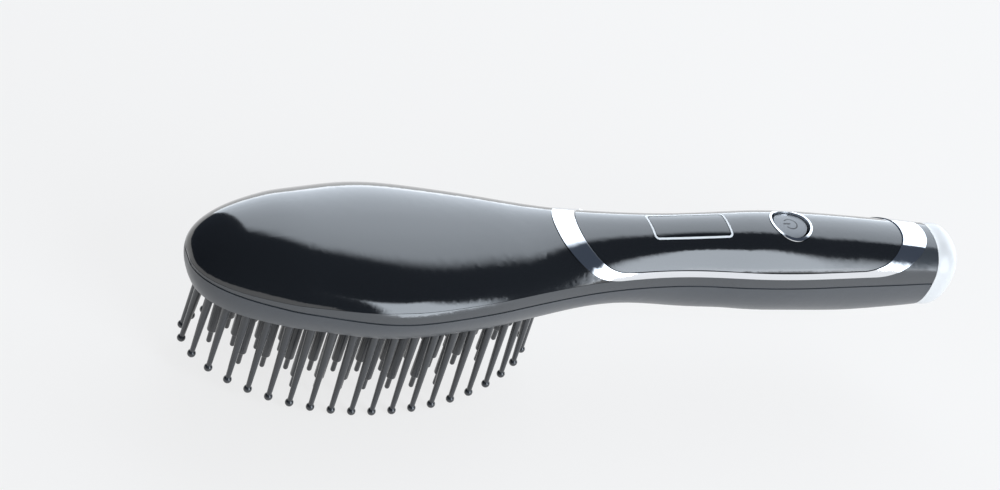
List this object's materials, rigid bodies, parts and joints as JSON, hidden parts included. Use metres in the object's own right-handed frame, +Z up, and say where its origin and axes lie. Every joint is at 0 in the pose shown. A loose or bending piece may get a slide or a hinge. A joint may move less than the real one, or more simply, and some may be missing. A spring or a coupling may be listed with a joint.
{
  "type": "hair straightener brush",
  "caption": "Heated hair straightening brush: oval head with a bristle field, waisted neck, handle with display window, power button, bright trim and pale end cap.",
  "frame": {"origin": "middle of the brush in plan, on the surface that the bristle tips touch", "axes": "+X from the head's tip to the tail with the inlet, +Z up, away from the bristles"},
  "size_m": [0.2768, 0.064, 0.0618],
  "materials": {
    "gloss_black": "gloss",
    "body_black": "satin gloss",
    "chrome_trim": "polished",
    "pearl_white": "pearl satin",
    "window": "gloss",
    "button_grey": "satin",
    "plate_black": "fine texture",
    "bristle_grey": "satin",
    "bare_aluminium": "satin",
    "ceramic": "matt",
    "mica": "satin",
    "board_green": "satin",
    "component_black": "matt",
    "steel": "satin",
    "brass": "satin",
    "lead_red": "satin"
  },
  "bodies": {
    "brush": {"head_cover": "gloss_black", "handle_panel": "gloss_black", "upper_housing": "body_black", "lower_housing": "body_black", "handle_trim": "chrome_trim", "button_ring": "chrome_trim", "end_cap": "pearl_white", "display_window": "window", "tact_switch": "component_black", "bristle_plate": "plate_black", "guard_bristles": "bristle_grey", "heated_posts": "bristle_grey", "post_tips": "bristle_grey", "heat_plate": "bare_aluminium", "heater_clamp": "bare_aluminium", "ceramic_heaters": "ceramic", "mica_sheet": "mica", "thermistor": "component_black", "thermal_fuse": "steel", "ion_emitters": "component_black", "ion_generator": "component_black", "main_board": "board_green", "display_module": "component_black", "control_chip": "component_black", "power_triac": "component_black", "filter_capacitor": "component_black", "head_screws": "steel", "heater_screws": "steel", "housing_screws": "steel", "board_screws": "steel", "inlet_socket": "plate_black", "inlet_pins": "brass", "power_leads": "lead_red", "heater_leads": "lead_red"},
    "button": {"power_button": "button_grey", "switch_plunger": "component_black"}
  },
  "joints": [
    {"name": "button_press", "type": "slide", "parent": "brush", "child": "button", "axis": [0, 0, -1], "range_m": [0, 0.0005], "stiffness_N_per_m": 800, "springref_m": -0.0005}
  ]
}
